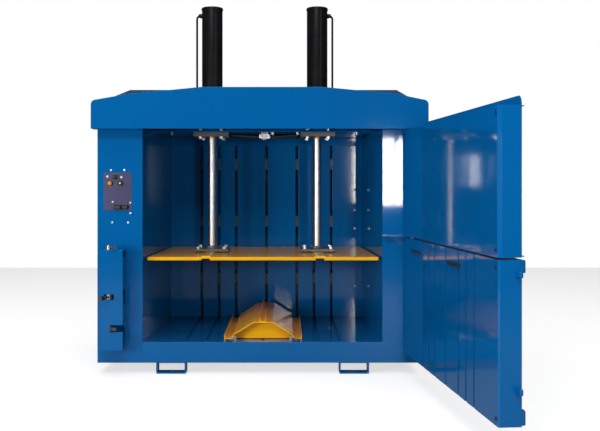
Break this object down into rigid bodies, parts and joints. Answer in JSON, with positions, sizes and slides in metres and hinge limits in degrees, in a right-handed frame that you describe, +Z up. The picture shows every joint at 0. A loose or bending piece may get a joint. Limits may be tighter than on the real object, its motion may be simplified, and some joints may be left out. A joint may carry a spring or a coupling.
{
  "type": "recycling baler",
  "caption": "Upright down-stroke baler with a hydraulic platen in a steel chamber, strap slots, two side-hinged doors, a door latch and a tilting bale ejector.",
  "frame": {"origin": "on the floor, at the centre of the rectangle of anchor holes in the fork loops: under the chamber's centre line, at the middle of the body's depth", "axes": "+Z up, +X to the machine's right as seen from the door side, +Y from the doors towards the back wall"},
  "size_m": [1.7792, 2.4377, 1.918],
  "materials": {
    "blue_paint": "gloss enamel",
    "yellow_paint": "gloss enamel",
    "black_paint": "satin enamel",
    "grey_paint": "semi-gloss enamel",
    "violet_panel": "fine matt",
    "chrome": "polished hard chrome",
    "steel": "machined",
    "zinc": "bright zinc plate",
    "bronze": "machined",
    "black_plastic": "moulded",
    "amber_plastic": "moulded",
    "white_plastic": "moulded"
  },
  "bodies": {
    "body": {"back_rails": "blue_paint", "back_slats": "blue_paint", "base_frame": "blue_paint", "button_bezels": "black_plastic", "canopy": "blue_paint", "control_cabinet": "grey_paint", "control_plate": "violet_panel", "corner_posts": "blue_paint", "cross_beams": "blue_paint", "cylinder_caps": "black_paint", "cylinder_flanges": "blue_paint", "cylinder_tubes": "black_paint", "door_switch": "black_plastic", "ejector_brackets": "steel", "ejector_pins": "steel", "flange_bolts": "zinc", "floor_plate": "blue_paint", "fork_loops": "blue_paint", "front_screws": "zinc", "front_sill": "blue_paint", "gland_heads": "bronze", "hinge_pin": "steel", "hinge_plates": "blue_paint", "hydraulic_pipes": "black_paint", "lamps": "white_plastic", "latch_bearings": "blue_paint", "latch_housing": "blue_paint", "left_column": "blue_paint", "left_wall": "blue_paint", "oil_tank": "grey_paint", "pack_shelf": "blue_paint", "pump": "steel", "pump_motor": "black_paint", "rear_cover": "blue_paint", "right_column": "blue_paint", "right_wall": "blue_paint", "roof_panel": "blue_paint", "side_ties": "blue_paint", "valve_block": "steel"},
    "press": {"platen": "yellow_paint", "rod_feet": "blue_paint", "foot_bolts": "zinc", "piston_rods": "chrome", "pistons": "steel"},
    "ejector": {"ejector_plate": "yellow_paint", "ejector_end": "yellow_paint"},
    "upper_door": {"upper_door_tray": "blue_paint", "upper_door_skin": "blue_paint", "upper_door_screws": "black_plastic"},
    "lower_door": {"lower_door_slats": "blue_paint", "lower_door_frame": "blue_paint", "lower_door_skin": "blue_paint", "lower_door_beams": "blue_paint", "lower_door_screws": "black_plastic"},
    "latch": {"latch_shaft": "steel", "latch_lever": "steel", "latch_grip": "black_plastic"},
    "stop_push": {"stop_button": "amber_plastic"},
    "start_push": {"start_button": "black_plastic"},
    "selector": {"selector_knob": "black_plastic"}
  },
  "joints": [
    {"name": "press_stroke", "type": "slide", "parent": "body", "child": "press", "axis": [0, 0, 1], "range_m": [-0.018, 0.555]},
    {"name": "upper_door_swing", "type": "hinge", "parent": "body", "child": "upper_door", "pos_m": [0.746, -0.519, 0.95], "axis": [0, 0, 1], "range_deg": [-95.4, 84.6]},
    {"name": "lower_door_swing", "type": "hinge", "parent": "body", "child": "lower_door", "pos_m": [0.746, -0.519, 0.4], "axis": [0, 0, 1], "range_deg": [-95.4, 84.6]},
    {"name": "ejector_tilt", "type": "hinge", "parent": "body", "child": "ejector", "pos_m": [0, -0.417, 0.1743], "axis": [1, 0, 0], "range_deg": [0, 17]},
    {"name": "latch_turn", "type": "hinge", "parent": "body", "child": "latch", "pos_m": [-0.752, -0.563, 0.4], "axis": [0, 0, 1], "range_deg": [0, 50]},
    {"name": "stop_press", "type": "slide", "parent": "body", "child": "stop_push", "axis": [0, 1, 0], "range_m": [0, 0.004], "stiffness_N_per_m": 400},
    {"name": "start_press", "type": "slide", "parent": "body", "child": "start_push", "axis": [0, 1, 0], "range_m": [0, 0.004], "stiffness_N_per_m": 400},
    {"name": "selector_turn", "type": "hinge", "parent": "body", "child": "selector", "pos_m": [-0.737, -0.48, 0.985], "axis": [0, 1, 0], "range_deg": [-45, 45]}
  ]
}
